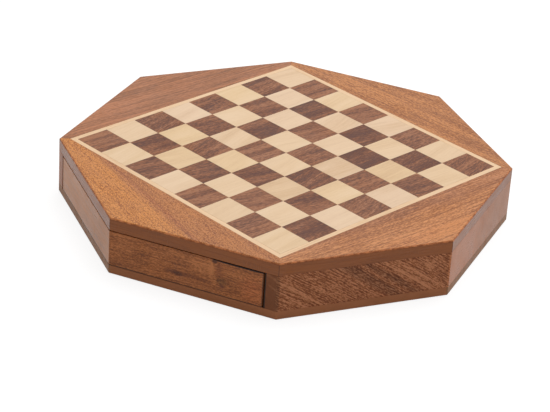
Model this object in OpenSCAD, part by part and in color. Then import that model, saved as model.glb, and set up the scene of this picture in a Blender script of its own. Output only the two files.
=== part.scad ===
// Octagonal wooden chess box with an inlaid board on top and two drawers under it.
// The box is a bottom board, two solid side blocks and a veneered top. The drawers fill the
// bay between the blocks and slide out in opposite directions. Each drawer's front is one
// corner of the octagon, made of two boards that meet in a mitre.
//
// Millimetres. The origin is the centre of the underside, +Z is up, and the corner of the
// front drawer points along -Y. The board's files run along Y and its ranks along X.

/* [Chessboard] */
// Side of one square
square_size = 18.25; // [14:0.25:45]
// Width of the pale line round the squares
line_w = 2.7; // [1:0.1:6]
// Width of the veneer beside the pale line, where it is narrowest, at the board's corners
rim_w = 3.85; // [2:0.05:20]

/* [Case] */
// Thickness of the bottom board
bottom_t = 4.5; // [3:0.5:10]
// Clear height of the drawer bay
bay_h = 18.5; // [14:0.5:45]
// Width of the side blocks' ends, which show beside the drawer fronts
block_end_w = 6.05; // [3:0.05:20]
// Width of the stop bar between the drawers
stop_w = 6; // [3:0.5:12]
// Chamfer along the outer top and bottom edges
arris = 0.5; // [0.2:0.1:0.7]

/* [Top] */
// Thickness of the top's core board
core_t = 5.7; // [4:0.1:12]
// Thickness of the wooden lipping round the core board's edge
lipping_t = 1.5; // [0.8:0.1:2.5]
// Thickness of the veneers and of the squares
veneer_t = 0.8; // [0.8:0.1:2]
// Hairline between neighbouring pieces of veneer
veneer_seam = 0.05; // [0.04:0.01:0.1]

/* [Drawers] */
// Running gap on each side of a drawer
side_gap = 0.8; // [0.3:0.1:1.5]
// Running gap above a drawer
top_gap = 0.5; // [0.3:0.1:1.5]
// Running gap under a drawer
bottom_gap = 0.2; // [0.1:0.1:1]
// Gap between a shut drawer and the stop bar
stop_gap = 0.3; // [0.1:0.1:2]
// Thickness of the two front boards
front_t = 8; // [5:0.5:14]
// Thickness of the side boards and the back board
wall_t = 5; // [4:0.5:9]
// How far the sides and back stay below the front boards' top edge
wall_drop = 1.5; // [0:0.5:5]
// Thickness of the drawer floor
floor_t = 2.5; // [2:0.5:4]
// Height of the floor's groove above the boards' lower edge
groove_lift = 1.5; // [1:0.5:3]
// Depth of the groove that holds the floor
groove_d = 2.5; // [1:0.5:3]
// Play of the floor in its groove
groove_play = 0.1; // [0.05:0.05:0.3]
// Thickness of the felt lining
felt_t = 1; // [0.5:0.1:2]
// Gap between the felt and the boards round it
felt_gap = 0.3; // [0.1:0.1:1]

/* [Hidden] */
SQUARES = 8; // a chessboard has 8 by 8
CORNERS = 8;
half_turn = 180 / CORNERS; // half the angle between two corners of the octagon

field_half = SQUARES * square_size / 2;
board_half = field_half + line_w;

// Every second corner of the octagon lies off a corner of the board, this far out both ways.
corner_out = board_half + rim_w;
oct_r = corner_out * sqrt(2);

bay_top = bottom_t + bay_h;
core_top = bay_top + core_t;
case_h = core_top + veneer_t;
bay_half_w = corner_out - block_end_w;

drawer_half_w = bay_half_w - side_gap;
drawer_z = bottom_t + bottom_gap;
drawer_h = bay_h - bottom_gap - top_gap;
wall_h = drawer_h - wall_drop;
floor_z = drawer_z + groove_lift;
drawer_back_y = stop_w / 2 + stop_gap;

// The octagon's eight edges, counter-clockwise from the one after the corner on +X.
EDGES = ["right_back", "back_right", "back_left", "left_back",
         "left_front", "front_left", "front_right", "right_front"];
// The four sides of the board, counter-clockwise from the one on +X.
SIDES = ["right", "back", "left", "front"];
SHADES = ["dark", "light"];
DRAWERS = ["front", "back"];

NODES = concat(
    ["bottom_board", "side_block_left", "side_block_right", "drawer_stop_bar", "top_core"],
    [for (e = EDGES) str("lipping_", e)],
    [for (s = SIDES) str("corner_veneer_", s)],
    [for (s = SIDES) str("board_line_", s)],
    [for (shade = SHADES) for (r = [1 : SQUARES]) str(shade, "_squares_rank_", r)],
    [for (d = DRAWERS) for (p = ["front_board_left", "front_board_right", "side_board_left",
        "side_board_right", "back_board", "floor", "felt"]) str(d, "_drawer_", p)]);
node = "all";

// Whether the node called name is wanted.
function wanted(name) = node == "all" || node == name;

// Corner k of the octagon, moved in by inset from both edges that meet there.
function corner(k, inset = 0) =
    let (r = oct_r - inset / cos(half_turn), a = 2 * half_turn * k)
    [r * cos(a), r * sin(a)];

// How far a front face lies from the X axis at x, moved in by inset from the octagon's edge.
function face_y(x, inset = 0) = oct_r - inset / cos(half_turn) - abs(x) * tan(half_turn);

// Outline of the front drawer, moved in from its sides, from its front faces and from its back.
function drawer_outline(side, front, back) =
    let (w = drawer_half_w - side, b = -drawer_back_y - back)
    [[-w, b], [-w, -face_y(w, front)], [0, -face_y(0, front)], [w, -face_y(w, front)], [w, b]];

// A flat piece from height z, t thick.
module slab(outline, z, t) {
    translate([0, 0, z]) linear_extrude(t) polygon(outline);
}

// A block that planes the chamfer off the octagon's edge k. The edge lies at height z, and up is
// 1 on the box's upper side and -1 on its underside.
module arris_cutter(k, z, up) {
    edge_length = 2 * oct_r * sin(half_turn);
    block = 10 * arris;
    rotate(2 * half_turn * k + half_turn)
        translate([oct_r * cos(half_turn), -edge_length, z])
            rotate([0, -45 * up, 0])
                translate([-arris / sqrt(2), 0, -block / 2])
                    cube([block, 2 * edge_length, block]);
}

// ---- case ----

module bottom_board() {
    color("#8a5433")
        difference() {
            slab([for (k = [0 : CORNERS - 1]) corner(k)], 0, bottom_t);
            for (k = [0 : CORNERS - 1]) arris_cutter(k, 0, -1);
        }
}

// Solid block that closes the case on the side that sign points to.
module side_block(sign) {
    x = bay_half_w;
    outline = [[x, -face_y(x)], corner(-1), corner(0), corner(1), [x, face_y(x)]];
    color("#83502f")
        mirror([sign < 0 ? 1 : 0, 0, 0]) slab(outline, bottom_t, bay_h);
}

module drawer_stop_bar() {
    color("#9a6a44")
        translate([-bay_half_w, -stop_w / 2, bottom_t]) cube([2 * bay_half_w, stop_w, bay_h]);
}

// ---- top ----

module top_core() {
    color("#b08a5c")
        slab([for (k = [0 : CORNERS - 1]) corner(k, lipping_t)], bay_top, core_t);
}

// Lipping along edge k, mitred into its neighbours.
module lipping(k) {
    outline = [corner(k), corner(k + 1), corner(k + 1, lipping_t), corner(k, lipping_t)];
    color("#7a4a2c") slab(outline, bay_top, core_t);
}

// Veneer between side s of the board and the octagon's edges.
module corner_veneer(s) {
    h = board_half + veneer_seam;
    m = 2 * s; // the corner of the octagon that the veneer points to
    outline = concat(
        [for (k = [m - 1 : m + 1]) corner(k)],
        [for (v = [[h, h], [h, -h]]) [v.x * cos(90 * s) - v.y * sin(90 * s),
                                      v.x * sin(90 * s) + v.y * cos(90 * s)]]);
    color("#c08a5a")
        difference() {
            slab(outline, core_top, veneer_t);
            for (k = [m - 1, m]) arris_cutter(k, case_h, 1);
        }
}

// Pale line along side s of the board, mitred at the board's corners.
module board_line(s) {
    near = field_half + veneer_seam;
    far = board_half;
    color("#ecd3a4")
        rotate(90 * s)
            slab([[near, -near], [far, -far], [far, far], [near, near]], core_top, veneer_t);
}

// The four dark or four light squares of rank r, counted from the front.
module rank_squares(shade, r) {
    size = square_size - veneer_seam;
    y = -field_half + (r - 1) * square_size;
    first = (r + (shade == "dark" ? 1 : 0)) % 2;
    color(shade == "dark" ? "#8b6048" : "#ecd2ab")
        for (file = [first : 2 : SQUARES - 1])
            translate([-field_half + file * square_size + veneer_seam / 2,
                       y + veneer_seam / 2, core_top])
                cube([size, size, veneer_t]);
}

// ---- drawers ----

// Puts a part of the front drawer in place for drawer d. The back drawer is the same, turned round.
module in_drawer(d) {
    rotate(d == "front" ? 0 : 180) children();
}

// The groove for the floor, as one slab that is cut out of the boards round it.
module floor_groove() {
    in = groove_d;
    slab(drawer_outline(wall_t - in, front_t - in, wall_t - in), floor_z, floor_t + groove_play);
}

// Front board on the side that sign points to, mitred at the corner.
module front_board(sign) {
    w = drawer_half_w;
    outline = [[0, -face_y(0)], [w, -face_y(w)], [w, -face_y(w, front_t)], [0, -face_y(0, front_t)]];
    color("#93592f")
        difference() {
            mirror([sign < 0 ? 1 : 0, 0, 0]) slab(outline, drawer_z, drawer_h);
            floor_groove();
        }
}

// Side board, cut at its front end to the slope of the front board that it meets.
module side_board(sign) {
    w = drawer_half_w;
    v = w - wall_t;
    outline = [[w, -drawer_back_y], [v, -drawer_back_y],
               [v, -face_y(v, front_t)], [w, -face_y(w, front_t)]];
    color("#b98a57")
        difference() {
            mirror([sign < 0 ? 1 : 0, 0, 0]) slab(outline, drawer_z, wall_h);
            floor_groove();
        }
}

module back_board() {
    inner_w = 2 * (drawer_half_w - wall_t);
    color("#b98a57")
        difference() {
            translate([-inner_w / 2, -drawer_back_y - wall_t, drawer_z])
                cube([inner_w, wall_t, wall_h]);
            floor_groove();
        }
}

module drawer_floor() {
    in = groove_d - groove_play;
    color("#c9a574")
        slab(drawer_outline(wall_t - in, front_t - in, wall_t - in), floor_z, floor_t);
}

module drawer_felt() {
    out = felt_gap;
    color("#2f5a3c")
        slab(drawer_outline(wall_t + out, front_t + out, wall_t + out), floor_z + floor_t, felt_t);
}

// ---- nodes ----

if (wanted("bottom_board")) bottom_board();
if (wanted("side_block_left")) side_block(-1);
if (wanted("side_block_right")) side_block(1);
if (wanted("drawer_stop_bar")) drawer_stop_bar();
if (wanted("top_core")) top_core();
for (k = [0 : CORNERS - 1])
    if (wanted(str("lipping_", EDGES[k]))) lipping(k);
for (s = [0 : 3])
    if (wanted(str("corner_veneer_", SIDES[s]))) corner_veneer(s);
for (s = [0 : 3])
    if (wanted(str("board_line_", SIDES[s]))) board_line(s);
for (shade = SHADES, r = [1 : SQUARES])
    if (wanted(str(shade, "_squares_rank_", r))) rank_squares(shade, r);
for (d = DRAWERS) {
    if (wanted(str(d, "_drawer_front_board_left"))) in_drawer(d) front_board(-1);
    if (wanted(str(d, "_drawer_front_board_right"))) in_drawer(d) front_board(1);
    if (wanted(str(d, "_drawer_side_board_left"))) in_drawer(d) side_board(-1);
    if (wanted(str(d, "_drawer_side_board_right"))) in_drawer(d) side_board(1);
    if (wanted(str(d, "_drawer_back_board"))) in_drawer(d) back_board();
    if (wanted(str(d, "_drawer_floor"))) in_drawer(d) drawer_floor();
    if (wanted(str(d, "_drawer_felt"))) in_drawer(d) drawer_felt();
}
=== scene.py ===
"""Looks of an octagonal chess box with an inlaid board and two drawers.

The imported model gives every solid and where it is. This script softens the edges of the boards,
lays the felt, gives each kind of wood its own finish, and sets up a plain studio.

Places are in metres, in the model's own frame: +Z is up, and the corner of the front drawer points
along -Y. The patterns inside the materials are in millimetres.
"""

from __future__ import annotations

import logging
import math
from collections.abc import Mapping, Sequence
from dataclasses import dataclass, field, replace
from enum import Enum

import bmesh
import bpy
from mathutils import Euler, Matrix, Vector, noise


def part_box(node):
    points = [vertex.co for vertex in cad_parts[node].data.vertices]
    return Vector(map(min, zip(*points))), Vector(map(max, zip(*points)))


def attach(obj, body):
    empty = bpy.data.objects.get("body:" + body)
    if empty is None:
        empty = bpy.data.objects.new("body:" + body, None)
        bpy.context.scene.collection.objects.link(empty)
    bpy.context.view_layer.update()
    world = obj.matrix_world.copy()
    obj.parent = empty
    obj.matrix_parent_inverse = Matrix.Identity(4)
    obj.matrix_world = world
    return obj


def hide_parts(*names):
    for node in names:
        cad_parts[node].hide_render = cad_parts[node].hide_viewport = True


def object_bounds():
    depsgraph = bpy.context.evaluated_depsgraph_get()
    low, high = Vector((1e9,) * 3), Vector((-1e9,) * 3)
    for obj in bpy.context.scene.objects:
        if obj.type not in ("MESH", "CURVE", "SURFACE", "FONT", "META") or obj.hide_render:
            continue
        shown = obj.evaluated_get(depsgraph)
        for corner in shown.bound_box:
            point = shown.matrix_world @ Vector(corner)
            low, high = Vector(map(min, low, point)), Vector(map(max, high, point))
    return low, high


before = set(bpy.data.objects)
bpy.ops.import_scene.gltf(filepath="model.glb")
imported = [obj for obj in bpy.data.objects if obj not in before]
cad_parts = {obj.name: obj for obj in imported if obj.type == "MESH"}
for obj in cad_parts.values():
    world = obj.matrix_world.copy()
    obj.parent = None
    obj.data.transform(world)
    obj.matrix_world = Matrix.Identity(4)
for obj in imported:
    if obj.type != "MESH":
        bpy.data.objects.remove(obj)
cad_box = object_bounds()

log = logging.getLogger("chess_box")

MM = 0.001
CORNER_COUNT = 8
HALF_TURN = math.pi / CORNER_COUNT  # half the angle between two corners of the octagon
BOARD_SQUARES = 8
CORNER_REACH = cad_box[1].x  # from the middle to the octagon's corners
APOTHEM = CORNER_REACH * math.cos(HALF_TURN)  # from the middle to the octagon's sides

Socket = bpy.types.NodeSocket
Feed = float | Sequence[float] | Socket
Swatch = tuple[int, int, int]
Colour = tuple[float, float, float, float]
Point = tuple[float, float, float]

WHITE: Swatch = (255, 255, 255)
# A dark brown for the lipping's dark joints, and for painted shade in the gaps beside the drawers.
GRIME_AND_SHADE_BROWN: Swatch = (46, 26, 16)
FIGURE_LAYERS = ("Band", "Line", "Streak", "Speck", "Pore")


def linear(swatch: Swatch) -> Colour:
    """Turns a swatch into the colour that a shader takes.

    Args:
        swatch: red, green and blue from 0 to 255, as a screen shows them.

    Returns:
        The linear colour, with an alpha of 1.
    """
    channels = [c / 255 for c in swatch]
    red, green, blue = (c / 12.92 if c <= 0.04045 else ((c + 0.055) / 1.055) ** 2.4 for c in channels)
    return red, green, blue, 1.0


def grey(level: float) -> Colour:
    """A grey of this linear level."""
    return level, level, level, 1.0


# ---- node trees ----


class Graph:
    """Adds nodes to one node tree and joins their sockets."""

    def __init__(self, tree: bpy.types.NodeTree) -> None:
        """Starts on the node tree of a material, a world or a group."""
        self.tree = tree

    @classmethod
    def emptied(cls, owner: bpy.types.Material | bpy.types.World) -> Graph:
        """Empties the tree of a material or a world.

        Args:
            owner: the material or the world.

        Returns:
            A graph that starts on its tree.
        """
        owner.use_nodes = True
        owner.node_tree.nodes.clear()
        return cls(owner.node_tree)

    def feed(self, socket: Socket, value: Feed) -> None:
        """Links a socket to another one, or sets its value.

        Args:
            socket: the input to fill.
            value: an output socket, or a plain number, vector or colour.
        """
        if isinstance(value, Socket):
            self.tree.links.new(value, socket)
        else:
            socket.default_value = value

    def node(self, kind: str, inputs: Mapping[str | int, Feed] | None = None,
             **settings: object) -> bpy.types.Node:
        """Adds a node.

        Args:
            kind: the node's type.
            inputs: what feeds its inputs, by name or by number.
            settings: its other properties.

        Returns:
            The new node.
        """
        made = self.tree.nodes.new(kind)
        for name, value in settings.items():
            setattr(made, name, value)
        for key, value in (inputs or {}).items():
            self.feed(made.inputs[key], value)
        return made

    def math(self, operation: str, *values: Feed, clamp: bool = False) -> Socket:
        """Adds a Math node that takes these values, and gives its output."""
        made = self.node("ShaderNodeMath", dict(enumerate(values)), operation=operation, use_clamp=clamp)
        return made.outputs[0]

    def times(self, first: Feed, second: Feed) -> Socket:
        """Multiplies two numbers."""
        return self.math("MULTIPLY", first, second)

    def vector(self, operation: str, *values: Feed) -> Socket:
        """Adds a Vector Math node, and gives its vector, or its number where the operation makes one."""
        made = self.node("ShaderNodeVectorMath", dict(enumerate(values)), operation=operation)
        return made.outputs["Value" if operation in ("DOT_PRODUCT", "LENGTH") else "Vector"]

    def scaled(self, vector: Feed, amount: Feed) -> Socket:
        """Multiplies a vector by a number."""
        made = self.node("ShaderNodeVectorMath", {"Vector": vector, "Scale": amount}, operation="SCALE")
        return made.outputs["Vector"]

    def millimetres(self) -> Socket:
        """Gives the point that is shaded, in millimetres in the model's frame."""
        place = self.node("ShaderNodeTexCoord").outputs["Object"]
        return self.node("ShaderNodeMapping", {"Vector": place, "Scale": (1 / MM,) * 3}).outputs[0]

    def noise(self, vector: Feed, size: Feed, detail: float = 2.0,
              roughness: float = 0.5) -> bpy.types.bpy_prop_collection:
        """Adds a Noise Texture with features of this size along each axis.

        Args:
            vector: where it is read.
            size: how large its features are along each axis.
            detail: how many finer layers it adds.
            roughness: how strong the finer layers are.

        Returns:
            Its outputs: the value first and the colour second.
        """
        place = self.vector("DIVIDE", vector, size)
        inputs = {"Vector": place, "Scale": 1.0, "Detail": detail, "Roughness": roughness}
        return self.node("ShaderNodeTexNoise", inputs).outputs

    def ramp(self, value: Feed, start: Feed, end: Feed) -> Socket:
        """Maps a value smoothly to 0 at start and to 1 at end, which may lie below start."""
        inputs = {"Value": value, "From Min": start, "From Max": end}
        return self.node("ShaderNodeMapRange", inputs, interpolation_type="SMOOTHSTEP").outputs[0]

    def swing(self, value: Feed, amount: Feed, level: Feed) -> Socket:
        """Moves a level by this amount over the whole range of a value that is 0.5 on average."""
        return self.math("MULTIPLY_ADD", self.math("SUBTRACT", value, 0.5), amount, level)

    def blend(self, factor: Feed, first: Feed, second: Feed, mode: str = "MIX") -> Socket:
        """Mixes two colours. The factor is the share of the second one."""
        inputs = {0: factor, 6: first, 7: second}
        return self.node("ShaderNodeMix", inputs, data_type="RGBA", blend_type=mode).outputs[2]


class Kind(Enum):
    """What a socket of a node group carries."""

    NUMBER = "NodeSocketFloat"
    VECTOR = "NodeSocketVector"
    COLOUR = "NodeSocketColor"

    def named(self, *names: str) -> dict[str, Kind]:
        """Gives sockets of this kind their names."""
        return dict.fromkeys(names, self)


class ShaderGroup:
    """A node group that is built once and placed in each material that uses it."""

    name: str
    inputs: Mapping[str, Kind]
    outputs: Mapping[str, Kind]

    def __init__(self) -> None:
        """Builds the group's tree."""
        self.tree = bpy.data.node_groups.new(self.name, "ShaderNodeTree")
        for in_out, sockets in (("INPUT", self.inputs), ("OUTPUT", self.outputs)):
            for name, kind in sockets.items():
                self.tree.interface.new_socket(name, in_out=in_out, socket_type=kind.value)
        graph = Graph(self.tree)
        given = graph.node("NodeGroupInput")
        graph.node("NodeGroupOutput", self.wire(graph, given.outputs))

    def wire(self, graph: Graph, given: Mapping[str, Socket]) -> dict[str, Socket]:
        """Adds the group's nodes.

        Args:
            graph: where they go.
            given: the group's inputs, by name.

        Returns:
            The socket that feeds each output, by name.
        """
        raise NotImplementedError

    def place(self, graph: Graph, inputs: Mapping[str, Feed]) -> Mapping[str, Socket]:
        """Puts the group in a material.

        Args:
            graph: the material's graph.
            inputs: what feeds the group there.

        Returns:
            Its outputs, by name.
        """
        made = graph.node("ShaderNodeGroup", node_tree=self.tree)
        for name, value in inputs.items():
            graph.feed(made.inputs[name], value)
        return made.outputs


class WoodGrain(ShaderGroup):
    """Wood with its fibres along X, in millimetres: bands, growth lines, streaks, flecks and pores."""

    name = "wood_grain"
    inputs = (
        Kind.VECTOR.named("Vector", *(f"{layer} Size" for layer in FIGURE_LAYERS))
        | Kind.COLOUR.named("Pale", "Mid", "Dark")
        | Kind.NUMBER.named("Tone", "Waviness", "Roughness",
                            *(f"{layer} Amount" for layer in FIGURE_LAYERS)))
    outputs = Kind.COLOUR.named("Color") | Kind.NUMBER.named("Roughness", "Height")
    fibre_size: Point = (7.0, 0.28, 0.28)
    fibre_amount = 0.35
    line_cover = 0.26  # the growth lines' mask on average
    pore_shade: Colour = (0.5, 0.36, 0.26, 1.0)

    def wire(self, graph: Graph, given: Mapping[str, Socket]) -> dict[str, Socket]:
        """Adds the group's nodes, as ShaderGroup.wire says."""
        slow = graph.noise(given["Vector"], (90.0, 32.0, 32.0), 1.0)[1]
        sideways = graph.vector("SUBTRACT", slow, (0.5, 0.5, 0.5))
        sideways = graph.vector("MULTIPLY", sideways, (0.0, 2.0, 2.0))
        along = graph.vector("ADD", given["Vector"], graph.scaled(sideways, given["Waviness"]))

        band = graph.ramp(graph.noise(along, given["Band Size"], 2.0, 0.55)[0], 0.3, 0.7)
        streak = graph.ramp(graph.noise(along, given["Streak Size"], 2.0, 0.6)[0], 0.3, 0.7)
        fibre = graph.noise(along, self.fibre_size, 1.0)[0]
        speck = graph.ramp(graph.noise(along, given["Speck Size"], 1.0, 0.6)[0], 0.34, 0.66)
        line = self.growth_lines(graph, graph.vector("DIVIDE", along, given["Line Size"]))
        dash = graph.node("ShaderNodeTexVoronoi", {
            "Vector": graph.vector("DIVIDE", along, given["Pore Size"]), "Scale": 1.0})
        crowd = graph.ramp(streak, 0.8, 0.3)
        pore = graph.times(graph.ramp(dash.outputs["Distance"], 0.34, 0.12), crowd)
        pore = graph.times(pore, given["Pore Amount"])

        tone = graph.swing(band, given["Band Amount"], given["Tone"])
        tone = graph.swing(streak, given["Streak Amount"], tone)
        tone = graph.swing(speck, given["Speck Amount"], tone)
        tone = graph.swing(fibre, self.fibre_amount, tone)
        typical = graph.math("SUBTRACT", self.line_cover, line)
        tone = graph.math("MULTIPLY_ADD", typical, given["Line Amount"], tone)
        lower = graph.blend(graph.math("MULTIPLY", tone, 2.0, clamp=True), given["Dark"], given["Mid"])
        upper = graph.math("MULTIPLY_ADD", tone, 2.0, -1.0, clamp=True)
        colour = graph.blend(upper, lower, given["Pale"])
        colour = graph.blend(pore, colour, graph.blend(1.0, colour, self.pore_shade, "MULTIPLY"))

        fleck = graph.times(speck, given["Speck Amount"])
        height = graph.math("MULTIPLY_ADD", fibre, 0.3, graph.times(fleck, 0.7))
        height = graph.math("SUBTRACT", height, pore)
        rough = graph.math("MULTIPLY_ADD", pore, 0.3, given["Roughness"])
        rough = graph.swing(streak, 0.1, rough)
        return {"Color": colour, "Roughness": rough, "Height": height}

    def growth_lines(self, graph: Graph, place: Socket) -> Socket:
        """Masks thin, wandering and broken lines along X.

        Args:
            graph: where the nodes go.
            place: where the mask is read, with the lines one unit apart on Z.

        Returns:
            The mask.
        """
        wander = graph.noise(place, (1.5, 7.0, 7.0), 2.0)[0]
        across = graph.node("ShaderNodeSeparateXYZ", {0: place}).outputs[2]
        phase = graph.math("MULTIPLY_ADD", wander, 4.0, across)
        wave = graph.math("SINE", graph.times(phase, math.tau))
        unbroken = graph.ramp(graph.noise(place, (0.4, 1.0, 1.0), 1.0)[0], 0.35, 0.6)
        return graph.times(graph.ramp(wave, -0.2, 0.9), unbroken)


class BoardCell(ShaderGroup):
    """Tells the squares of the chessboard apart, so that each is a piece of veneer of its own."""

    name = "board_cell"
    inputs = Kind.VECTOR.named("Vector") | Kind.NUMBER.named("Square", "Shuffle")
    outputs = Kind.VECTOR.named("Vector") | Kind.NUMBER.named("Tone", "Hue")

    def wire(self, graph: Graph, given: Mapping[str, Socket]) -> dict[str, Socket]:
        """Adds the group's nodes, as ShaderGroup.wire says."""
        across = graph.vector("MULTIPLY", given["Vector"], (1.0, 1.0, 0.0))
        square = given["Square"]
        size = graph.node("ShaderNodeCombineXYZ", {0: square, 1: square, 2: 1.0}).outputs[0]
        cell = graph.vector("FLOOR", graph.vector("DIVIDE", across, size))
        seed = graph.node("ShaderNodeCombineXYZ", {2: given["Shuffle"]}).outputs[0]
        chance = graph.node("ShaderNodeTexWhiteNoise", {"Vector": graph.vector("ADD", cell, seed)})
        parts = graph.node("ShaderNodeSeparateXYZ", {0: chance.outputs["Color"]})
        slant = graph.times(graph.math("SUBTRACT", parts.outputs[2], 0.5), 0.5)
        turned = graph.node("ShaderNodeVectorRotate", {"Vector": given["Vector"], "Angle": slant},
                            rotation_type="Z_AXIS").outputs[0]
        own_place = graph.vector("ADD", turned, graph.scaled(chance.outputs["Color"], 900.0))
        return {"Vector": own_place, "Tone": chance.outputs["Value"], "Hue": parts.outputs[1]}


class OctagonRim(ShaderGroup):
    """Gives how far a point lies inside the octagon's side faces, in millimetres."""

    name = "octagon_rim"
    inputs = Kind.VECTOR.named("Vector") | Kind.NUMBER.named("Apothem")
    outputs = Kind.NUMBER.named("Inset")

    def wire(self, graph: Graph, given: Mapping[str, Socket]) -> dict[str, Socket]:
        """Adds the group's nodes, as ShaderGroup.wire says."""
        reach: Feed = 0.0
        for k in range(CORNER_COUNT // 2):
            out = graph.math("ABSOLUTE", graph.vector("DOT_PRODUCT", given["Vector"], facing(k)))
            reach = graph.math("MAXIMUM", reach, out)
        return {"Inset": graph.math("SUBTRACT", given["Apothem"], reach)}


class OvalMark(ShaderGroup):
    """Masks an oval mark, such as a knot or a stripe in the wood, or a patch of painted light or shade,
    and bends the grain round it.
    """

    name = "oval_mark"
    inputs = Kind.VECTOR.named("Vector", "Centre", "Size") | Kind.NUMBER.named("Softness", "Push")
    outputs = Kind.VECTOR.named("Vector") | Kind.NUMBER.named("Mask")

    def wire(self, graph: Graph, given: Mapping[str, Socket]) -> dict[str, Socket]:
        """Adds the group's nodes, as ShaderGroup.wire says."""
        offset = graph.vector("SUBTRACT", given["Vector"], given["Centre"])
        far = graph.vector("LENGTH", graph.vector("DIVIDE", offset, given["Size"]))
        wobble = graph.noise(given["Vector"], (5.0, 1.8, 1.8))[0]
        ragged = graph.swing(wobble, graph.times(given["Softness"], 1.6), far)
        outer = graph.math("ADD", 1.0, given["Softness"])
        inner = graph.math("SUBTRACT", 1.0, given["Softness"])
        near = graph.times(far, 0.45)
        halo = graph.math("EXPONENT", graph.times(graph.times(near, near), -1.0))
        pull = graph.times(graph.times(halo, given["Push"]), -1.0)
        sideways = graph.vector("MULTIPLY", offset, (0.0, 0.0, 1.0))
        bent = graph.vector("ADD", given["Vector"], graph.scaled(sideways, pull))
        return {"Vector": bent, "Mask": graph.ramp(ragged, outer, inner)}


class FaceMask(ShaderGroup):
    """Masks one flat side of the octagon, given the way it faces."""

    name = "face_mask"
    inputs = Kind.VECTOR.named("Vector", "Outward") | Kind.NUMBER.named("Apothem")
    outputs = Kind.NUMBER.named("Mask")

    def wire(self, graph: Graph, given: Mapping[str, Socket]) -> dict[str, Socket]:
        """Adds the group's nodes, as ShaderGroup.wire says."""
        out = graph.vector("DOT_PRODUCT", given["Vector"], given["Outward"])
        return {"Mask": graph.ramp(graph.math("SUBTRACT", given["Apothem"], out), 0.9, 0.3)}


class GrimeAndShadeLine(ShaderGroup):
    """Masks a dark line along a gap, which lies in a plane at some reach in one direction: a dark joint,
    and also painted shade in the gaps beside the drawers.
    """

    name = "grime_line"
    inputs = Kind.VECTOR.named("Vector", "Direction") | Kind.NUMBER.named("Reach", "Width")
    outputs = Kind.NUMBER.named("Mask")

    def wire(self, graph: Graph, given: Mapping[str, Socket]) -> dict[str, Socket]:
        """Adds the group's nodes, as ShaderGroup.wire says."""
        out = graph.vector("DOT_PRODUCT", given["Vector"], given["Direction"])
        away = graph.math("ABSOLUTE", graph.math("SUBTRACT", out, given["Reach"]))
        uneven = graph.noise(given["Vector"], (4.0, 4.0, 4.0))[0]
        width = graph.times(graph.math("ADD", uneven, 0.5), given["Width"])
        return {"Mask": graph.ramp(graph.math("DIVIDE", away, width), 1.2, 0.5)}


class Handling(ShaderGroup):
    """Smudges and hairline scratches in a varnish, as a change of roughness and height."""

    name = "handling"
    inputs = Kind.VECTOR.named("Vector") | Kind.NUMBER.named("Roughness", "Height", "Amount")
    outputs = Kind.NUMBER.named("Roughness", "Height")

    def wire(self, graph: Graph, given: Mapping[str, Socket]) -> dict[str, Socket]:
        """Adds the group's nodes, as ShaderGroup.wire says."""
        smudge = graph.noise(given["Vector"], (26.0, 22.0, 24.0), 3.0, 0.6)[0]
        swell = graph.noise(given["Vector"], (38.0, 38.0, 14.0), 1.0)[0]
        scratch: Feed = 0.0
        for turn, width in ((0.5, 0.5), (-1.1, 0.7)):
            turned = graph.node("ShaderNodeMapping", {
                "Vector": given["Vector"], "Rotation": (0.0, 0.0, turn)}).outputs[0]
            line = graph.noise(turned, (25.0, width, 10.0), 0.0)[0]
            scratch = graph.math("MAXIMUM", scratch, graph.ramp(line, 0.74, 0.8))
        rough = graph.swing(smudge, 0.3, graph.times(scratch, 0.12))
        rough = graph.math("MULTIPLY_ADD", rough, given["Amount"], given["Roughness"], clamp=True)
        height = graph.math("MULTIPLY_ADD", scratch, -0.25, graph.times(swell, 2.0))
        height = graph.math("MULTIPLY_ADD", height, given["Amount"], given["Height"])
        return {"Roughness": rough, "Height": height}


# ---- directions and sides ----

UP = Vector((0.0, 0.0, 1.0))
TO_RIGHT = Vector((1.0, 0.0, 0.0))
TO_BACK = Vector((0.0, 1.0, 0.0))


def facing(k: int) -> Vector:
    """The way the octagon's side k faces. Side 0 runs from the corner on +X, counter-clockwise."""
    turn = (2 * k + 1) * HALF_TURN
    return Vector((math.cos(turn), math.sin(turn), 0.0))


def corner(k: int) -> Vector:
    """The direction from the middle to the octagon's corner k, counted from the one on +X."""
    turn = 2 * k * HALF_TURN
    return Vector((math.cos(turn), math.sin(turn), 0.0))


def running(k: int) -> Vector:
    """The direction that the octagon's side k runs in, counter-clockwise."""
    return UP.cross(facing(k))


def on_side(k: int, along: float, height: float) -> Point:
    """A place on the octagon's side k, so far along it from its middle and so far up, in millimetres."""
    place = facing(k) * (APOTHEM / MM) + running(k) * along + UP * height
    return place.x, place.y, place.z


class Side(Enum):
    """A side of the box and of its board, and how many quarter turns it is from the right one."""

    RIGHT = 0
    BACK = 1
    LEFT = 2
    FRONT = 3

    @property
    def word(self) -> str:
        """The side's name in the names of pieces."""
        return self.name.lower()

    @property
    def along(self) -> Vector:
        """The direction that the board's side runs in."""
        return TO_BACK if self in (Side.RIGHT, Side.LEFT) else TO_RIGHT


class Shade(Enum):
    """The shade of a square of the chessboard."""

    DARK = "dark"
    LIGHT = "light"


# ---- finishes ----

GRAIN = WoodGrain()
CELL = BoardCell()
RIM = OctagonRim()
MARK = OvalMark()
FACE = FaceMask()
GRIME_AND_SHADE = GrimeAndShadeLine()
HANDLING = Handling()

PLAIN_SHARE = 0.07  # how much of its figure a board shows on its plain sides


@dataclass(frozen=True)
class Cut:
    """How a piece was cut from the tree: which way its fibres and its show face point, and from where."""

    grain: Vector
    face: Vector
    shift: Point = (0.0, 0.0, 0.0)

    @property
    def turn(self) -> Matrix:
        """The turn from the model's frame to the wood's: fibres on X, the depth of the face on Y."""
        along = self.grain.normalized()
        across = along.cross(self.face).normalized()
        return Matrix((along, across.cross(along), across))

    def at(self, place: Point) -> Vector:
        """Gives a place of the model's frame in the wood's frame, both in millimetres."""
        return self.turn @ Vector(place) + Vector(self.shift)


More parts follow.
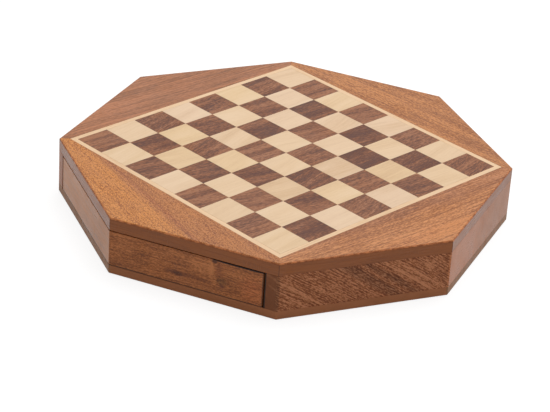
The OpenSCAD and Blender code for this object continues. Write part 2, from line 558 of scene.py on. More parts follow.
@dataclass(frozen=True)
class Mark:
    """An oval mark on a board: a knot or a streak in the wood, or a patch of painted light or shade. Its
    reach is half its size along the fibres and across them.
    """

    centre: Point
    reach: tuple[float, float]
    tint: Swatch = WHITE
    tone: float = 0.0
    softness: float = 0.5
    push: float = 0.0
    depth: float = 300.0


@dataclass(frozen=True)
class RimTint:
    """Ragged colour along the octagon's upper edge, which swings in and out by so many widths: a worn
    veneer edge, with a painted highlight where the arris catches the light.
    """

    # worn is the bright colour of the edge: worn wood with a painted highlight.
    worn: Swatch
    dark: Swatch
    width: float
    flake: float = 2.4
    swing: float = 2.4


@dataclass(frozen=True)
class Squares:
    """How the squares of one shade differ from each other."""

    size: float
    shuffle: float
    tone_spread: float
    other_hue: Swatch
    hue_share: float


@dataclass(frozen=True)
class Grime:
    """A dark line along a gap, in the plane at this reach in this direction: a dark joint of the lipping,
    and painted shade in the gaps beside the drawers.
    """

    direction: Vector
    reach: float
    width: float = 0.45
    strength: float = 0.8


@dataclass(frozen=True)
class SideLook:
    """How a piece looks on its side that faces this way: whether it is figured there, and the tone and
    tint that paint light and shade on that side.
    """

    outward: Vector
    figured: bool = False
    tone: float = 0.0
    tint: Swatch = WHITE


@dataclass(frozen=True)
class Board:
    """One board, or a set of alike ones: how it was cut, and what tells it from others of its wood.

    Places are in the model's frame. A board with sides is plain on those that aren't named.
    """

    cut: Cut
    marks: tuple[Mark, ...] = ()
    squares: Squares | None = None
    rim: RimTint | None = None
    grime: tuple[Grime, ...] = ()
    sides: tuple[SideLook, ...] = ()


@dataclass(frozen=True)
class Layer:
    """One layer of a wood's figure: how long and how wide its features are, and how strong it is."""

    length: float
    width: float
    amount: float


@dataclass(frozen=True)
class WoodFinish:
    """A kind of wood as it is coloured and varnished on this box. Lengths are in millimetres."""

    name: str
    pale: Swatch
    mid: Swatch
    dark: Swatch
    band: Layer = Layer(70.0, 7.0, 0.3)
    line: Layer = Layer(30.0, 2.0, 0.15)
    streak: Layer = Layer(30.0, 1.4, 0.25)
    speck: Layer = Layer(1.5, 0.6, 0.15)
    pore: Layer = Layer(3.0, 0.7, 0.1)
    tone: float = 0.5
    waviness: float = 2.5
    roughness: float = 0.4
    relief: float = 0.05
    handled: float = 1.0
    ior: float = 1.34

    @property
    def layers(self) -> tuple[Layer, ...]:
        """The layers of its figure, in the order of FIGURE_LAYERS."""
        return self.band, self.line, self.streak, self.speck, self.pore

    def material(self, piece: str, board: Board) -> bpy.types.Material:
        """Makes the wood's material for one board.

        Args:
            piece: what the material is for; it ends the material's name.
            board: the board.

        Returns:
            The material.
        """
        made = bpy.data.materials.new(f"{self.name}_{piece}")
        made.diffuse_color = linear(self.mid)
        WoodPainter(Graph.emptied(made), self, board).paint()
        return made


class WoodPainter:
    """Adds the nodes that give one board its colour, roughness and height."""

    def __init__(self, graph: Graph, finish: WoodFinish, board: Board) -> None:
        """Starts on a board.

        Args:
            graph: the material's graph.
            finish: the board's wood.
            board: how it was cut and marked.
        """
        self.graph = graph
        self.finish = finish
        self.board = board
        self.place = graph.millimetres()
        self.read_at = self.place
        self.tone: Feed = finish.tone
        self.mid: Feed = linear(finish.mid)
        self.figure: Feed | None = None
        self.tints: list[tuple[Socket, Swatch]] = []

    def paint(self) -> None:
        """Adds every node, up to the material's output."""
        if self.board.squares:
            self.part_squares(self.board.squares)
        if self.board.sides:
            self.part_sides()
        self.turn_and_mark()
        wood = self.grain()
        colour = wood["Color"]
        for mask, tint in self.tints:
            colour = self.graph.blend(mask, colour, linear(tint), "MULTIPLY")
        if self.board.rim:
            colour = self.worn_rim(colour, self.board.rim)
        for line in self.board.grime:
            colour = self.dirty(colour, line)
        worn = HANDLING.place(self.graph, {
            "Vector": self.place, "Roughness": wood["Roughness"], "Height": wood["Height"],
            "Amount": self.finish.handled})
        bump = self.graph.node("ShaderNodeBump", {
            "Height": worn["Height"], "Distance": self.finish.relief * MM})
        shader = self.graph.node("ShaderNodeBsdfPrincipled", {
            "Base Color": colour, "Roughness": worn["Roughness"], "Normal": bump.outputs[0],
            "IOR": self.finish.ior})
        self.graph.node("ShaderNodeOutputMaterial", {"Surface": shader.outputs[0]})

    def part_squares(self, squares: Squares) -> None:
        """Gives each square of the board its own place in the wood, tone and hue.

        Args:
            squares: how the squares differ.
        """
        cell = CELL.place(self.graph, {
            "Vector": self.place, "Square": squares.size, "Shuffle": squares.shuffle})
        self.read_at = cell["Vector"]
        self.tone = self.graph.swing(cell["Tone"], squares.tone_spread, self.tone)
        other = self.graph.times(cell["Hue"], squares.hue_share)
        self.mid = self.graph.blend(other, self.mid, linear(squares.other_hue))

    def part_sides(self) -> None:
        """Gives each named side its figure, and the tone and tint that paint light and shade on it."""
        figure: Feed = PLAIN_SHARE
        for side in self.board.sides:
            shown = FACE.place(self.graph, {
                "Vector": self.place, "Outward": side.outward, "Apothem": APOTHEM / MM})["Mask"]
            self.tone = self.graph.math("MULTIPLY_ADD", shown, side.tone, self.tone)
            self.tints.append((shown, side.tint))
            if side.figured:
                figure = self.graph.math("MAXIMUM", figure, shown)
        self.figure = figure

    def turn_and_mark(self) -> None:
        """Turns the place that is read to the wood's frame, and adds the board's marks there."""
        cut = self.board.cut
        woods = self.graph.node("ShaderNodeMapping", {
            "Vector": self.read_at, "Rotation": tuple(cut.turn.to_euler()),
            "Location": cut.shift}).outputs[0]
        for mark in self.board.marks:
            spot = MARK.place(self.graph, {
                "Vector": woods, "Centre": cut.at(mark.centre),
                "Size": (mark.reach[0], mark.depth, mark.reach[1]),
                "Softness": mark.softness, "Push": mark.push})
            woods = spot["Vector"]
            self.tone = self.graph.math("MULTIPLY_ADD", spot["Mask"], mark.tone, self.tone)
            self.tints.append((spot["Mask"], mark.tint))
        self.read_at = woods

    def grain(self) -> Mapping[str, Socket]:
        """Places the grain.

        Returns:
            Its outputs, by name.
        """
        finish = self.finish
        inputs: dict[str, Feed] = {
            "Vector": self.read_at, "Tone": self.tone, "Waviness": finish.waviness,
            "Pale": linear(finish.pale), "Mid": self.mid, "Dark": linear(finish.dark),
            "Roughness": finish.roughness}
        for name, layer in zip(FIGURE_LAYERS, finish.layers):
            inputs[f"{name} Size"] = (layer.length, layer.width, layer.width)
            inputs[f"{name} Amount"] = layer.amount
            if self.figure is not None and name != "Band":
                inputs[f"{name} Amount"] = self.graph.times(self.figure, layer.amount)
        return GRAIN.place(self.graph, inputs)

    def worn_rim(self, colour: Socket, rim: RimTint) -> Socket:
        """Wears the colour along the octagon's upper edge, and paints the highlight of its arris there.

        Args:
            colour: the wood's colour.
            rim: how the edge is worn and where its highlight is painted.

        Returns:
            The colour with the worn edge and its painted highlight.
        """
        inset = RIM.place(self.graph, {"Vector": self.place, "Apothem": APOTHEM / MM})["Inset"]
        ragged = self.graph.noise(self.place, (rim.flake,) * 3, 3.0, 0.65)[0]
        edge = self.graph.swing(ragged, -rim.swing * rim.width, inset)
        # The bright flakes are worn wood with a painted highlight of the arris.
        broken = self.graph.blend(self.graph.ramp(ragged, 0.38, 0.62), linear(rim.dark), linear(rim.worn))
        return self.graph.blend(self.graph.ramp(edge, rim.width, 0.5 * rim.width), colour, broken)

    def dirty(self, colour: Socket, line: Grime) -> Socket:
        """Darkens the colour along a gap.

        Args:
            colour: the wood's colour.
            line: where the dark line is.

        Returns:
            The darkened colour.
        """
        gap_mask = GRIME_AND_SHADE.place(self.graph, {
            "Vector": self.place, "Direction": line.direction, "Reach": line.reach, "Width": line.width})
        share = self.graph.times(gap_mask["Mask"], line.strength)
        return self.graph.blend(share, colour, linear(GRIME_AND_SHADE_BROWN))


@dataclass(frozen=True)
class FeltFinish:
    """Wool felt: a matted pile with specks of other shades and a soft sheen."""

    name: str
    wool: Swatch
    shade: Swatch
    speck: Swatch
    pile: float = 0.25 * MM
    sheen: float = 0.12

    def material(self) -> bpy.types.Material:
        """Makes the felt's material, the first time that it is asked for.

        Returns:
            The material.
        """
        made = bpy.data.materials.get(self.name)
        if made:
            return made
        made = bpy.data.materials.new(self.name)
        made.diffuse_color = linear(self.wool)
        graph = Graph.emptied(made)
        place = graph.millimetres()
        cloud = graph.noise(place, (18.0, 18.0, 18.0), 3.0, 0.6)[0]
        mat = graph.noise(place, (1.6, 1.6, 1.6), 3.0, 0.7)
        tangled = graph.vector("ADD", place, graph.scaled(mat[1], 3.0))
        hair = graph.noise(tangled, (0.4, 3.0, 1.0), 2.0)[0]
        worn = graph.times(graph.ramp(cloud, 0.35, 0.65), 0.7)
        colour = graph.blend(worn, linear(self.shade), linear(self.wool))
        matted = graph.times(graph.ramp(mat[0], 0.55, 0.35), 0.8)
        colour = graph.blend(matted, colour, linear(self.shade))
        colour = graph.blend(graph.ramp(hair, 0.56, 0.72), colour, linear(self.speck))
        height = graph.math("ADD", mat[0], graph.times(hair, 0.6))
        bump = graph.node("ShaderNodeBump", {"Height": height, "Distance": self.pile})
        rough = graph.swing(mat[0], 0.2, 0.9)
        shader = graph.node("ShaderNodeBsdfPrincipled", {
            "Base Color": colour, "Roughness": rough, "Normal": bump.outputs[0],
            "Specular IOR Level": 0.1, "Sheen Weight": self.sheen, "Sheen Roughness": 0.5})
        graph.node("ShaderNodeOutputMaterial", {"Surface": shader.outputs[0]})
        return made


# The rim's bright colour is partly a painted highlight of the arris.
RIM_WEAR_AND_HIGHLIGHT = RimTint(worn=(206, 126, 74), dark=(146, 76, 34), width=0.5)

# The four corner veneers are copies of one wood, each with its own figure; the left one is darker and the
# front one paler.
BACK_VENEER = WoodFinish(
    name="corner_veneer", pale=(206, 138, 80), mid=(178, 112, 59), dark=(134, 72, 20), tone=0.47,
    band=Layer(100.0, 6.0, 0.34), line=Layer(60.0, 2.0, 0.15), streak=Layer(30.0, 1.1, 0.4),
    speck=Layer(1.6, 0.45, 0.75), pore=Layer(2.4, 0.6, 0.4))
VENEERS = {
    Side.BACK: BACK_VENEER,
    Side.RIGHT: replace(
        BACK_VENEER, pale=(210, 142, 87), mid=(178, 110, 57), dark=(136, 74, 20), tone=0.5,
        band=Layer(80.0, 9.0, 0.35), line=Layer(50.0, 1.9, 0.4), streak=Layer(34.0, 1.4, 0.38),
        speck=Layer(1.8, 0.45, 0.68), pore=Layer(2.6, 0.6, 0.45)),
    Side.LEFT: replace(
        BACK_VENEER, pale=(188, 122, 82), mid=(160, 101, 63), dark=(122, 72, 34), tone=0.5,
        band=Layer(120.0, 3.6, 0.45), line=Layer(80.0, 2.2, 0.3), streak=Layer(60.0, 1.2, 0.35),
        speck=Layer(2.8, 0.7, 0.35), pore=Layer(2.0, 0.6, 0.5)),
    Side.FRONT: replace(
        BACK_VENEER, pale=(218, 145, 75), mid=(192, 120, 52), dark=(146, 76, 18), tone=0.55,
        band=Layer(80.0, 9.0, 0.2), line=Layer(30.0, 2.2, 0.2), streak=Layer(12.0, 0.8, 0.3),
        speck=Layer(1.0, 0.4, 0.95), pore=Layer(1.4, 0.6, 0.35))}
# Redder wood beside the board, a dark streak in the front leaf and a paler zone in the right one.
VENEER_MARKS = {
    Side.FRONT: (
        Mark((6.4, -60.2, 0.0), (300.0, 30.0), tint=(232, 229, 253), softness=0.06),
        Mark((6.0, -87.3, 0.0), (60.0, 1.1), tint=(248, 240, 248), tone=-0.1, softness=0.7)),
    Side.RIGHT: (
        Mark((53.0, 3.0, 0.0), (300.0, 30.0), tint=(238, 236, 249), softness=0.1),
        Mark((103.0, 2.0, 0.0), (42.0, 5.5), tint=(255, 248, 236), tone=0.18, softness=0.6))}
LINE_WOOD = WoodFinish(
    name="pale_line", pale=(244, 208, 168), mid=(238, 201, 160), dark=(222, 178, 130),
    pore=Layer(3.0, 0.7, 0.05))
DARK_WOOD = WoodFinish(
    name="dark_square", pale=(164, 108, 72), mid=(115, 61, 24), dark=(82, 35, 8), tone=0.44,
    band=Layer(60.0, 5.0, 0.55), line=Layer(14.0, 1.7, 0.2), streak=Layer(14.0, 0.9, 0.45),
    speck=Layer(2.0, 0.4, 0.6), pore=Layer(3.0, 0.7, 0.2), ior=1.31)
LIGHT_WOOD = WoodFinish(
    name="light_square", pale=(240, 210, 176), mid=(230, 197, 164), dark=(212, 174, 132),
    band=Layer(60.0, 6.0, 0.3), line=Layer(30.0, 2.0, 0.08), streak=Layer(30.0, 1.2, 0.12),
    speck=Layer(1.5, 0.6, 0.08), pore=Layer(3.0, 0.7, 0.06))
EDGE_WOOD = WoodFinish(
    name="lipping", pale=(170, 100, 50), mid=(160, 92, 45), dark=(138, 78, 40),
    line=Layer(40.0, 2.0, 0.1), relief=0.02, roughness=0.3)
# Painted light: the bottom board is a paler copy of the lipping's wood, to make up for the lesser light
# that reaches it near the floor.
BOTTOM_WOOD = replace(
    EDGE_WOOD, name="bottom_board", pale=(190, 123, 80), mid=(180, 114, 73), dark=(158, 97, 56),
    roughness=0.5, ior=1.33)
BLOCK_WOOD = WoodFinish(
    name="side_block", pale=(212, 141, 98), mid=(168, 99, 57), dark=(115, 55, 14),
    band=Layer(60.0, 5.0, 0.1), line=Layer(22.0, 1.15, 0.55), streak=Layer(16.0, 0.5, 0.45),
    speck=Layer(1.5, 0.4, 0.75), pore=Layer(2.0, 0.5, 0.6), relief=0.015, roughness=0.34, ior=1.29)
FRONT_WOOD = WoodFinish(
    name="drawer_front", pale=(216, 136, 80), mid=(174, 101, 50), dark=(124, 66, 24),
    band=Layer(40.0, 6.0, 0.22), line=Layer(22.0, 1.5, 0.2), streak=Layer(16.0, 0.8, 0.32),
    speck=Layer(1.2, 0.4, 0.55), pore=Layer(2.2, 0.6, 0.3), waviness=6.0, roughness=0.34)
PLAIN_FRONT_WOOD = replace(
    FRONT_WOOD, name="plain_drawer_front", pale=(212, 140, 84), mid=(192, 122, 68), dark=(150, 94, 56),
    line=Layer(30.0, 2.6, 0.12), streak=Layer(30.0, 1.4, 0.15), speck=Layer(1.5, 0.6, 0.2),
    pore=Layer(2.2, 0.6, 0.2))
BARE_WOOD = WoodFinish(
    name="bare_wood", pale=(220, 180, 136), mid=(205, 160, 114), dark=(176, 128, 86),
    band=Layer(70.0, 7.0, 0.9), line=Layer(60.0, 3.0, 0.5), streak=Layer(30.0, 1.4, 0.6),
    speck=Layer(1.5, 0.6, 0.2), pore=Layer(3.0, 0.7, 0.25), roughness=0.65, handled=0.3)
PLYWOOD = replace(
    BARE_WOOD, name="plywood", pale=(226, 196, 152), mid=(214, 180, 134), dark=(190, 152, 108))
FELT = FeltFinish(name="wool_felt", wool=(40, 84, 54), shade=(16, 46, 30), speck=(84, 116, 82))


# ---- pieces ----


WELD_GAP = 0.001 * MM
CUT_GAP = 0.0001 * MM
SHARP_EDGE = math.radians(30.0)


def dress(node: str, material: bpy.types.Material, sanded: float) -> None:
    """Gives a CAD node its material, and rounds its edges a little, as sandpaper does.

    Args:
        node: the node's name.
        material: what it is made of.
        sanded: how wide its rounded edges are, in metres.
    """
    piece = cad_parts[node]
    piece.data.materials.clear()
    piece.data.materials.append(material)
    weld = piece.modifiers.new("join", "WELD")
    weld.merge_threshold = WELD_GAP
    bevel = piece.modifiers.new("sanded_edges", "BEVEL")
    bevel.width = sanded
    bevel.segments = 2
    bevel.limit_method = "ANGLE"
    bevel.angle_limit = SHARP_EDGE
    log.info("%s: %s", node, material.name)


@dataclass
class Carcass:
    """Bottom board, side blocks and stop bar."""

    sanded: float = 0.12 * MM
    block_sanded: float = 0.25 * MM
    slope: float = math.radians(34.0)
    # far_tone and far_tint paint light: the block's other long side, seen at a grazing angle, is made
    # paler and warmer.
    far_tone: float = 0.33
    far_tint: Swatch = (253, 240, 222)
    # end_tint paints shade: the block's end beside a drawer is made darker.
    end_tint: Swatch = (206, 203, 192)
    # shaded_tint paints shade: the bottom board's two grazing sides are made greyer and darker.
    shaded_tint: Swatch = (226, 246, 255)
    shaded_sides: tuple[int, ...] = (0, 5)
    right_side: int = 7
    left_side: int = 3

    def build(self) -> None:
        """Dresses the carcass."""
        # Painted shade on the bottom board's grazing sides.
        greyer = tuple(SideLook(facing(k), tint=self.shaded_tint) for k in self.shaded_sides)
        flat = Board(Cut(Vector((1.0, 0.4, 0.0)), UP), sides=greyer)
        dress("bottom_board", BOTTOM_WOOD.material("flat", flat), self.sanded)
        # Painted shade: the right block is darkened along the gap beside the front drawer.
        drawer_gap_shade = Grime(TO_RIGHT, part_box("drawer_stop_bar")[1].x / MM, width=0.65, strength=1.0)
        self.block(Side.RIGHT, self.right_side, self.marks(), (drawer_gap_shade,))
        self.block(Side.LEFT, self.left_side)
        dress("drawer_stop_bar", BARE_WOOD.material("stop_bar", Board(Cut(TO_RIGHT, UP))), self.sanded)

    def block(self, hand: Side, side: int, marks: tuple[Mark, ...] = (),
              grime: tuple[Grime, ...] = ()) -> None:
        """Dresses one side block.

        Args:
            hand: the left one or the right one.
            side: the octagon's side that its stripes fall across. Its other long side comes next.
            marks: marks in its wood, and patches of painted shade.
            grime: painted shade along the gap beside the drawer, where the block has one.
        """
        falling = running(side) * math.cos(self.slope) - UP * math.sin(self.slope)
        cut = Cut(falling, facing(side), shift=(40.0 * side, 7.0, 12.0))
        # Painted light and shade: the second look makes the block's other long side paler and warmer, the
        # third makes its end beside the drawer darker.
        looks = (
            SideLook(facing(side), figured=True),
            SideLook(facing(side + 1), tone=self.far_tone, tint=self.far_tint),
            SideLook(facing(side - 1), tint=self.end_tint))
        wood = BLOCK_WOOD.material(hand.word, Board(cut, marks, grime=grime, sides=looks))
        dress(f"side_block_{hand.word}", wood, self.block_sanded)

    def marks(self) -> tuple[Mark, ...]:
        """The dark band and the orange streaks in the right block, and painted shade that makes the end
        of its far side greyer and darker.
        """
        side = self.right_side
        return (
            Mark(on_side(side, 1.0, 15.5), (26.0, 2.6), tint=(228, 232, 236), tone=-0.18),
            Mark(on_side(side, 12.0, 15.0), (22.0, 1.6), tint=(228, 232, 236), tone=-0.15),
            Mark(on_side(side, 21.5, 14.0), (17.0, 0.85), tone=0.55),
            Mark(on_side(side, 28.5, 13.5), (18.0, 0.6), tone=0.5),
            Mark(on_side(side, -5.0, 17.5), (12.0, 0.4), tone=0.35),
            Mark(on_side(side, -32.0, 12.5), (15.0, 0.95), tone=0.5),
            Mark(on_side(side, -35.0, 9.5), (13.0, 0.6), tone=0.42),
            # Painted shade: the end of the block's other long side is made greyer and darker.
            Mark(on_side(side + 1, 30.0, 12.0), (22.0, 30.0), tint=(236, 245, 255), softness=0.7))


@dataclass
class Top:
    """Core board, its lippings and the veneers beside the board."""

    sanded: float = 0.1 * MM
    veneer_sanded: float = 0.06 * MM
    edges: tuple[str, ...] = ("right_back", "back_right", "back_left", "left_back",
                              "left_front", "front_left", "front_right", "right_front")
    slants: Mapping[Side, float] = field(default_factory=lambda: {
        Side.RIGHT: math.radians(-4.0), Side.BACK: math.radians(3.0),
        Side.LEFT: math.radians(-4.0), Side.FRONT: math.radians(-12.0)})

    def build(self) -> None:
        """Dresses the top."""
        dress("top_core", PLYWOOD.material("core", Board(Cut(TO_BACK, UP))), self.sanded)
        for k, edge in enumerate(self.edges):
            cut = Cut(running(k), facing(k), shift=(37.0 * k, 11.0 * k, 0.0))
            mitres = tuple(Grime(corner(k + end), CORNER_REACH / MM, 0.1, 0.5) for end in (0, 1))
            dress(f"lipping_{edge}", EDGE_WOOD.material(edge, Board(cut, grime=mitres)), self.sanded)
        for side in Side:
            grain = Matrix.Rotation(self.slants[side], 3, "Z") @ side.along
            cut = Cut(grain, UP, shift=(53.0 * side.value, 29.0, 7.0 * side.value))
            leaf = Board(cut, VENEER_MARKS.get(side, ()), rim=RIM_WEAR_AND_HIGHLIGHT)
            veneer = VENEERS[side].material(side.word, leaf)
            dress(f"corner_veneer_{side.word}", veneer, self.veneer_sanded)


@dataclass
class Inlay:
    """Squares of the chessboard and the pale line round them."""

    sanded: float = 0.05 * MM
    tones: Mapping[Shade, Squares] = field(init=False)

    def __post_init__(self) -> None:
        """Works out the side of a square from the first rank, whose four squares span seven."""
        low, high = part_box(f"{Shade.DARK.value}_squares_rank_1")
        size = (high.x - low.x) / (BOARD_SQUARES - 1) / MM
        self.tones = {
            Shade.DARK: Squares(size, 3.0, 0.5, (138, 82, 46), 1.0),
            Shade.LIGHT: Squares(size, 8.0, 0.35, (230, 196, 146), 0.75)}

    def build(self) -> None:
        """Dresses the squares and the line."""
        for shade, wood in ((Shade.DARK, DARK_WOOD), (Shade.LIGHT, LIGHT_WOOD)):
            made = wood.material("board", Board(Cut(TO_BACK, UP), squares=self.tones[shade]))
            for rank in range(1, BOARD_SQUARES + 1):
                dress(f"{shade.value}_squares_rank_{rank}", made, self.sanded)
        for side in Side:
            strip = Board(Cut(side.along, UP, shift=(71.0 * side.value, 0.0, 0.0)))
            dress(f"board_line_{side.word}", LINE_WOOD.material(side.word, strip), self.sanded)


@dataclass
class FeltLining:
    """Felt on a drawer's floor, cut to the drawer's outline with its corner, and laid a little uneven."""

    word: str
    sides: tuple[int, int]
    finish: FeltFinish = FELT
    cell: float = 3.0 * MM
    rounded: float = 0.35 * MM
    sag: float = 0.15 * MM
    sag_size: float = 18.0 * MM

    def build(self) -> None:
        """Cuts the felt, gives it its thickness, and lays it on the floor in place of its plain solid."""
        node = f"{self.word}_drawer_felt"
        low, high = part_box(node)
        shape = bmesh.new()
        area = self.cut_out(shape, low, high)
        self.thicken(shape, high.z - low.z)
        piece = self.finished(shape, f"{self.word}_drawer_lining")
        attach(piece, f"{self.word}_drawer")
        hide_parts(node)
        log.info("%s: felt of %.1f square centimetres", piece.name, area * 1e4)

    def cut_out(self, shape: bmesh.types.BMesh, low: Vector, high: Vector) -> float:
        """Cuts the flat felt to its outline.

        Args:
            shape: the mesh that it goes in.
            low: the lowest corner of the felt's box.
            high: the highest corner.

        Returns:
            The felt's area in square metres.
        """
        size = high - low
        middle = (low + high) / 2
        bmesh.ops.create_grid(shape, x_segments=round(size.x / self.cell),
                              y_segments=round(size.y / self.cell), size=0.5)
        bmesh.ops.scale(shape, vec=(size.x, size.y, 1.0), verts=shape.verts)
        bmesh.ops.translate(shape, vec=(middle.x, middle.y, low.z), verts=shape.verts)
        outward = facing(self.sides[0]) + facing(self.sides[1])
        tip = Vector((middle.x, high.y if outward.y > 0 else low.y, low.z))
        for side in self.sides:
            whole = shape.verts[:] + shape.edges[:] + shape.faces[:]
            bmesh.ops.bisect_plane(shape, geom=whole, dist=CUT_GAP, plane_co=tip,
                                   plane_no=facing(side), clear_outer=True)
        return sum(face.calc_area() for face in shape.faces)

    def thicken(self, shape: bmesh.types.BMesh, thickness: float) -> None:
        """Raises the felt's top from its underside, rounds its rim and lets it lie a little uneven.

        Args:
            shape: the felt's mesh, still flat.
            thickness: how thick it is, in metres.
        """
        raised = bmesh.ops.extrude_face_region(shape, geom=shape.faces[:])["geom"]
        upper = [vert for vert in raised if isinstance(vert, bmesh.types.BMVert)]
        bmesh.ops.translate(shape, vec=(0.0, 0.0, thickness), verts=upper)
        bmesh.ops.recalc_face_normals(shape, faces=shape.faces)
        top = set(upper)
        rim = [edge for edge in shape.edges if set(edge.verts) <= top
               and any(abs(face.normal.z) < 0.5 for face in edge.link_faces)]
        for vert in upper:
            near = vert.co / self.sag_size
            vert.co.z -= self.sag * (0.5 + 0.5 * noise.noise(near))
        bmesh.ops.bevel(shape, geom=rim, offset=self.rounded, segments=3, profile=0.5, affect="EDGES",
                        material=-1)
        for face in shape.faces:
            face.smooth = face.normal.z > 0.1

    def finished(self, shape: bmesh.types.BMesh, name: str) -> bpy.types.Object:
        """Turns the mesh into a felt piece.

        Args:
            shape: the finished mesh.
            name: the piece's name.

        Returns:
            The piece.
        """
        mesh = bpy.data.meshes.new(name)
        shape.to_mesh(mesh)
        shape.free()
        mesh.materials.append(self.finish.material())
        piece = bpy.data.objects.new(name, mesh)
        bpy.context.scene.collection.objects.link(piece)
        return piece


@dataclass
class Drawer:
    """One drawer: two front boards, two sides, a back, a floor and the felt on it."""

    at: Side
    sides: Mapping[Side, int]
    marks: Mapping[Side, tuple[Mark, ...]] = field(default_factory=dict)
    sanded: float = 0.3 * MM
    floor_sanded: float = 0.1 * MM

    def build(self) -> None:
        """Dresses the drawer."""
        word = self.at.word
        for hand, side in self.sides.items():
            self.front(hand, side)
            wall = Board(Cut(TO_BACK, TO_RIGHT, shift=(61.0 * side, 17.0, 5.0)))
            dress(f"{word}_drawer_side_board_{hand.word}",
                  BARE_WOOD.material(f"{word}_{hand.word}_side", wall), self.sanded)
        back = BARE_WOOD.material(f"{word}_back", Board(Cut(TO_RIGHT, TO_BACK)))
        dress(f"{word}_drawer_back_board", back, self.sanded)
        floor = PLYWOOD.material(f"{word}_floor", Board(Cut(TO_RIGHT, UP)))
        dress(f"{word}_drawer_floor", floor, self.floor_sanded)
        FeltLining(word, tuple(self.sides.values())).build()

    def front(self, hand: Side, side: int) -> None:
        """Dresses one of the two front boards.

        Args:
            hand: the left one or the right one.
            side: the octagon's side that it lies in.
        """
        node = f"{self.at.word}_drawer_front_board_{hand.word}"
        finish = FRONT_WOOD if hand is Side.RIGHT else PLAIN_FRONT_WOOD
        cut = Cut(running(side), facing(side), shift=(61.0 * side, 17.0, 5.0))
        low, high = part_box(node)
        # Painted shade: the front board is darkened along the gap under it and along the gap at its end
        # beside the block.
        bottom_gap_shade = Grime(UP, low.z / MM)
        end = Grime(TO_RIGHT, max(low.x, high.x, key=abs) / MM, strength=0.6)
        board = Board(cut, self.marks.get(hand, ()), grime=(bottom_gap_shade, end))
        dress(node, finish.material(f"{self.at.word}_{hand.word}", board), self.sanded)


def knotty(side: int) -> tuple[Mark, ...]:
    """The knots, smudges and paler figure in the drawer front on one of the octagon's sides, with painted
    shade: a darker streak from the top down to the knot, a dark line along the gap at the top and a dark
    line along the gap at the end.
    """
    return (
        Mark(on_side(side, 4.5, 16.8), (8.0, 3.4), tone=0.3, softness=0.7),
        Mark(on_side(side, 31.0, 12.0), (6.0, 6.0), tint=(255, 240, 234), tone=0.12, softness=0.7),
        Mark(on_side(side, -33.0, 18.5), (7.0, 3.0), tone=0.15, softness=0.8),
        Mark(on_side(side, -26.0, 13.5), (4.0, 5.0), tone=-0.15, softness=0.8),
        Mark(on_side(side, 9.6, 17.0), (1.2, 4.0), tone=0.35, softness=0.6),
        Mark(on_side(side, 11.2, 11.0), (1.3, 2.4), tone=0.35, softness=0.6),
        # Painted shade: a darker streak from the top down to the knot.
        Mark(on_side(side, 13.6, 18.0), (1.6, 4.0), tint=(216, 206, 206), softness=0.7),
        Mark(on_side(side, 15.2, 12.2), (2.8, 1.8), tint=(206, 212, 202), softness=0.5, push=0.7),
        Mark(on_side(side, 15.4, 10.8), (1.2, 0.8), tint=(196, 186, 196), softness=0.5),
        Mark(on_side(side, 11.1, 21.6), (1.2, 1.1), tint=(140, 126, 116), push=0.3),
        # Painted shadow along the gap over the drawer front.
        Mark(on_side(side, 25.0, 22.4), (15.0, 0.45), depth=0.7, tint=(72, 54, 44), softness=0.3),
        # Painted shadow in the gap at the drawer front's end beside the block.
        Mark(on_side(side, 36.8, 14.0), (0.75, 60.0), depth=2.0, tint=(48, 34, 28), softness=0.25),
        Mark(on_side(side, -3.0, 10.6), (9.5, 1.2), tint=(222, 214, 212), tone=-0.05),
        Mark(on_side(side, -8.0, 10.2), (3.6, 1.0), tint=(206, 202, 208)))


def painted_light_end(side: int) -> tuple[Mark, ...]:
    """Painted light: the end of the plain drawer front on one of the octagon's sides, made paler as if
    more light fell there.
    """
    return (Mark(on_side(side, -22.0, 14.0), (22.0, 16.0), tone=0.3, softness=0.8),)


# ---- studio ----


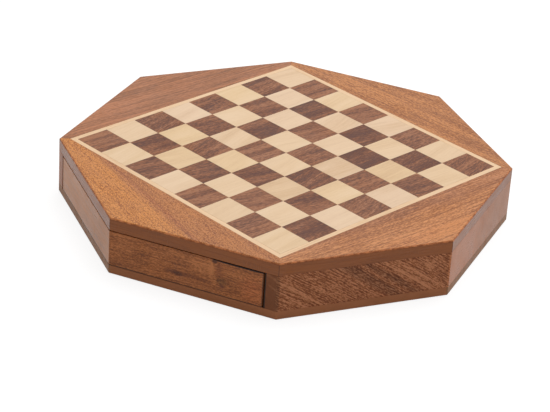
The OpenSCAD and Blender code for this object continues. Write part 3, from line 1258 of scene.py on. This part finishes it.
@dataclass
class Studio:
    """Camera, lamps, floor and surroundings."""

    aim: Vector = field(default_factory=lambda: Vector((18.36, -23.62, 15.0)) * MM)
    distance: float = 1.0205
    azimuth: float = math.radians(44.99)
    elevation: float = math.radians(27.76)
    roll: float = math.radians(3.77)
    lens: float = 137.44
    surround: float = 0.28
    floor_half: float = 6.0
    floor_bounce: float = 0.7
    floor_grey: float = 0.25
    floor_glow: float = 0.85
    box_side: float = 1.6
    box_power: float = 23.0
    box_place: Vector = field(default_factory=lambda: Vector((-0.15, 0.5, 1.5)))

    def build(self) -> None:
        """Sets up the studio."""
        self.camera()
        self.softbox()
        self.world()
        self.floor()
        bpy.context.scene.view_settings.view_transform = "Standard"

    def camera(self) -> None:
        """Puts the camera where the picture was taken from."""
        back = Vector((math.sin(self.azimuth) * math.cos(self.elevation),
                       -math.cos(self.azimuth) * math.cos(self.elevation), math.sin(self.elevation)))
        made = bpy.data.objects.new("camera", bpy.data.cameras.new("camera"))
        made.data.lens = self.lens
        made.rotation_mode = "QUATERNION"
        made.location = self.aim + back * self.distance
        level = (-back).to_track_quat("-Z", "Y")
        rolled = Euler((0.0, 0.0, self.roll)).to_quaternion()
        made.rotation_quaternion = level @ rolled
        bpy.context.scene.collection.objects.link(made)
        bpy.context.scene.camera = made
        log.info("camera at %s", [round(c, 4) for c in made.location])

    def softbox(self) -> None:
        """Hangs one large soft light over the box, a little behind it."""
        lamp = bpy.data.lights.new("softbox", "AREA")
        lamp.shape = "SQUARE"
        lamp.size = self.box_side
        lamp.energy = self.box_power
        made = bpy.data.objects.new("softbox", lamp)
        made.location = self.box_place
        made.rotation_mode = "QUATERNION"
        made.rotation_quaternion = (-self.box_place).to_track_quat("-Z", "Y")
        bpy.context.scene.collection.objects.link(made)

    def seen(self, graph: Graph) -> Socket:
        """Adds the mask of rays that see the surroundings: camera, glossy and transmission rays.

        Args:
            graph: the graph of the floor's material or of the world.

        Returns:
            The mask.
        """
        path = graph.node("ShaderNodeLightPath")
        glossy = graph.math("MAXIMUM", path.outputs["Is Camera Ray"], path.outputs["Is Glossy Ray"])
        return graph.math("MAXIMUM", glossy, path.outputs["Is Transmission Ray"])

    def world(self) -> None:
        """Surrounds the box with white that lights it only softly."""
        world = bpy.data.worlds.new("white_surround")
        graph = Graph.emptied(world)
        soft = graph.node("ShaderNodeBackground", {"Color": linear(WHITE), "Strength": self.surround})
        white = graph.node("ShaderNodeBackground", {"Color": linear(WHITE)})
        mixed = graph.node("ShaderNodeMixShader", {
            0: self.seen(graph), 1: soft.outputs[0], 2: white.outputs[0]})
        graph.node("ShaderNodeOutputWorld", {"Surface": mixed.outputs[0]})
        bpy.context.scene.world = world

    def floor(self) -> None:
        """Lays a plain pale floor that keeps the box's soft shadow."""
        mesh = bpy.data.meshes.new("floor")
        shape = bmesh.new()
        bmesh.ops.create_grid(shape, x_segments=1, y_segments=1, size=self.floor_half)
        shape.to_mesh(mesh)
        shape.free()
        made = bpy.data.objects.new("floor", mesh)
        material = bpy.data.materials.new("pale_floor")
        graph = Graph.emptied(material)
        seen = self.seen(graph)
        shade = graph.blend(seen, grey(self.floor_bounce), grey(self.floor_grey))
        paper = graph.node("ShaderNodeBsdfDiffuse", {"Color": shade})
        glow = graph.node("ShaderNodeEmission", {"Strength": graph.times(seen, self.floor_glow)})
        both = graph.node("ShaderNodeAddShader", {0: paper.outputs[0], 1: glow.outputs[0]})
        graph.node("ShaderNodeOutputMaterial", {"Surface": both.outputs[0]})
        mesh.materials.append(material)
        bpy.context.scene.collection.objects.link(made)


# ---- the whole box ----


def main() -> None:
    """Builds and dresses the box, then sets up the studio."""
    logging.basicConfig(level=logging.INFO, format="%(message)s")
    Carcass().build()
    Top().build()
    Inlay().build()
    marks = {Side.LEFT: painted_light_end(5), Side.RIGHT: knotty(6)}
    Drawer(Side.FRONT, {Side.LEFT: 5, Side.RIGHT: 6}, marks).build()
    Drawer(Side.BACK, {Side.LEFT: 1, Side.RIGHT: 2}).build()
    Studio().build()


if __name__ == "__main__":
    main()
